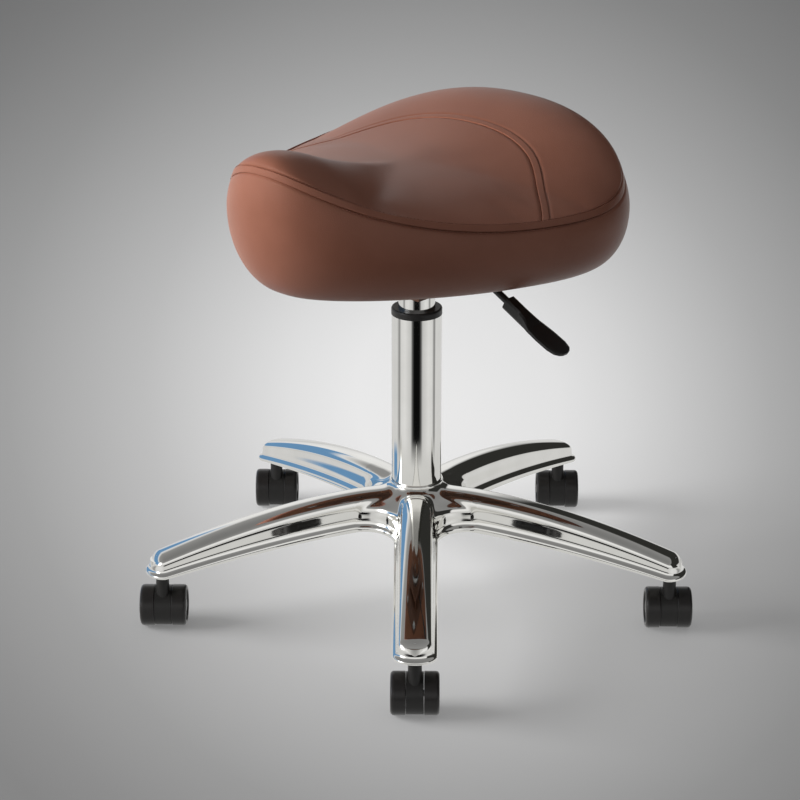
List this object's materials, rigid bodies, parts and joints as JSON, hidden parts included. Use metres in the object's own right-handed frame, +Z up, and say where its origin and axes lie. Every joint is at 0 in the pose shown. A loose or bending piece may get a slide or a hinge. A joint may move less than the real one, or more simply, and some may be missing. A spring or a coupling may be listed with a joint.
{
  "type": "rolling salon stool",
  "caption": "Rolling stool with a saddle-shaped padded leather seat, lift column with release lever, chromed star base and swivelling twin-wheel casters",
  "frame": {"origin": "on the floor, on the column's axis, under the middle of the star base", "axes": "+Z up along the column, -Y towards the narrow nose of the seat, +X towards the release lever"},
  "size_m": [0.561, 0.554, 0.5077],
  "materials": {
    "polished_chrome": "mirror chrome plating on the base casting and both column tubes",
    "zinc_steel": "bright zinc plated steel",
    "brass_fitting": "turned brass",
    "black_plastic": "fine grained black nylon",
    "caster_nylon": "smooth black nylon with a low gloss",
    "black_rubber": "black rubber",
    "black_steel": "satin black paint",
    "plywood": "bare birch plywood",
    "backing_cloth": "brown non-woven backing cloth",
    "brown_leather": "smooth brown leather with a soft sheen"
  },
  "bodies": {
    "base": {"star_base": "polished_chrome", "column_tube": "polished_chrome", "guide_bush": "black_plastic", "thrust_washer_low": "zinc_steel", "thrust_balls": "zinc_steel", "ball_cage": "brass_fitting", "caster_stems": "zinc_steel", "stem_grip_rings": "zinc_steel"},
    "rod": {"thrust_washer_top": "zinc_steel", "bump_stop": "black_rubber", "piston_rod": "zinc_steel", "piston": "brass_fitting", "piston_ring": "black_rubber", "rod_clip": "zinc_steel"},
    "seat": {"pressure_tube": "polished_chrome", "tube_gland": "brass_fitting", "rod_seal": "black_rubber", "valve_body": "brass_fitting", "lift_socket": "zinc_steel", "seat_plate": "black_steel", "lever_pin": "zinc_steel", "seat_board": "plywood", "t_nuts": "zinc_steel", "seat_bolts": "zinc_steel", "bolt_washers": "zinc_steel", "dust_cover": "backing_cloth", "seat_cushion": "brown_leather", "perimeter_welt": "brown_leather", "arch_welt": "brown_leather"},
    "lever": {"lever_rod": "black_steel", "lever_grip": "black_plastic"},
    "release": {"release_pin": "zinc_steel"},
    "caster_1": {"caster_hood_1": "black_plastic", "caster_axle_1": "zinc_steel"},
    "wheel_1_left": {"wheel_1_left": "caster_nylon"},
    "wheel_1_right": {"wheel_1_right": "caster_nylon"},
    "caster_2": {"caster_hood_2": "black_plastic", "caster_axle_2": "zinc_steel"},
    "wheel_2_left": {"wheel_2_left": "caster_nylon"},
    "wheel_2_right": {"wheel_2_right": "caster_nylon"},
    "caster_3": {"caster_hood_3": "black_plastic", "caster_axle_3": "zinc_steel"},
    "wheel_3_left": {"wheel_3_left": "caster_nylon"},
    "wheel_3_right": {"wheel_3_right": "caster_nylon"},
    "caster_4": {"caster_hood_4": "black_plastic", "caster_axle_4": "zinc_steel"},
    "wheel_4_left": {"wheel_4_left": "caster_nylon"},
    "wheel_4_right": {"wheel_4_right": "caster_nylon"},
    "caster_5": {"caster_hood_5": "black_plastic", "caster_axle_5": "zinc_steel"},
    "wheel_5_left": {"wheel_5_left": "caster_nylon"},
    "wheel_5_right": {"wheel_5_right": "caster_nylon"}
  },
  "joints": [
    {"name": "seat_swivel", "type": "hinge", "parent": "base", "child": "rod", "pos_m": [0, 0, 0.3], "axis": [0, 0, 1], "continuous": true},
    {"name": "seat_lift", "type": "slide", "parent": "rod", "child": "seat", "axis": [0, 0, 1], "range_m": [-0.011, 0.12]},
    {"name": "lever_lift", "type": "hinge", "parent": "seat", "child": "lever", "pos_m": [0.034, 0, 0.3585], "axis": [0, -1, 0], "range_deg": [0, 3.5], "stiffness_Nm_per_rad": 2},
    {"name": "release_press", "type": "slide", "parent": "seat", "child": "release", "axis": [0, 0, -1], "range_m": [0, 0.0022]},
    {"name": "caster_1_swivel", "type": "hinge", "parent": "base", "child": "caster_1", "pos_m": [0.17971, -0.19543, 0.05], "axis": [0, 0, 1], "continuous": true},
    {"name": "wheel_1_left_spin", "type": "hinge", "parent": "caster_1", "child": "wheel_1_left", "pos_m": [0.17463, -0.18991, 0.0208], "axis": [0.7361, 0.6769, 0], "continuous": true},
    {"name": "wheel_1_right_spin", "type": "hinge", "parent": "caster_1", "child": "wheel_1_right", "pos_m": [0.17463, -0.18991, 0.0208], "axis": [0.7361, 0.6769, 0], "continuous": true},
    {"name": "caster_2_swivel", "type": "hinge", "parent": "base", "child": "caster_2", "pos_m": [0.2414, 0.11052, 0.05], "axis": [0, 0, 1], "continuous": true},
    {"name": "wheel_2_left_spin", "type": "hinge", "parent": "caster_2", "child": "wheel_2_left", "pos_m": [0.23633, 0.11604, 0.0208], "axis": [0.7361, 0.6769, 0], "continuous": true},
    {"name": "wheel_2_right_spin", "type": "hinge", "parent": "caster_2", "child": "wheel_2_right", "pos_m": [0.23633, 0.11604, 0.0208], "axis": [0.7361, 0.6769, 0], "continuous": true},
    {"name": "caster_3_swivel", "type": "hinge", "parent": "base", "child": "caster_3", "pos_m": [-0.03052, 0.26374, 0.05], "axis": [0, 0, 1], "continuous": true},
    {"name": "wheel_3_left_spin", "type": "hinge", "parent": "caster_3", "child": "wheel_3_left", "pos_m": [-0.03559, 0.26926, 0.0208], "axis": [0.7361, 0.6769, 0], "continuous": true},
    {"name": "wheel_3_right_spin", "type": "hinge", "parent": "caster_3", "child": "wheel_3_right", "pos_m": [-0.03559, 0.26926, 0.0208], "axis": [0.7361, 0.6769, 0], "continuous": true},
    {"name": "caster_4_swivel", "type": "hinge", "parent": "base", "child": "caster_4", "pos_m": [-0.26026, 0.05248, 0.05], "axis": [0, 0, 1], "continuous": true},
    {"name": "wheel_4_left_spin", "type": "hinge", "parent": "caster_4", "child": "wheel_4_left", "pos_m": [-0.26534, 0.058, 0.0208], "axis": [0.7361, 0.6769, 0], "continuous": true},
    {"name": "wheel_4_right_spin", "type": "hinge", "parent": "caster_4", "child": "wheel_4_right", "pos_m": [-0.26534, 0.058, 0.0208], "axis": [0.7361, 0.6769, 0], "continuous": true},
    {"name": "caster_5_swivel", "type": "hinge", "parent": "base", "child": "caster_5", "pos_m": [-0.13034, -0.23131, 0.05], "axis": [0, 0, 1], "continuous": true},
    {"name": "wheel_5_left_spin", "type": "hinge", "parent": "caster_5", "child": "wheel_5_left", "pos_m": [-0.13541, -0.22579, 0.0208], "axis": [0.7361, 0.6769, 0], "continuous": true},
    {"name": "wheel_5_right_spin", "type": "hinge", "parent": "caster_5", "child": "wheel_5_right", "pos_m": [-0.13541, -0.22579, 0.0208], "axis": [0.7361, 0.6769, 0], "continuous": true}
  ],
  "couplings": [
    {"joint": "release_press", "follows": "lever_lift", "m_per_rad": 0.034}
  ]
}
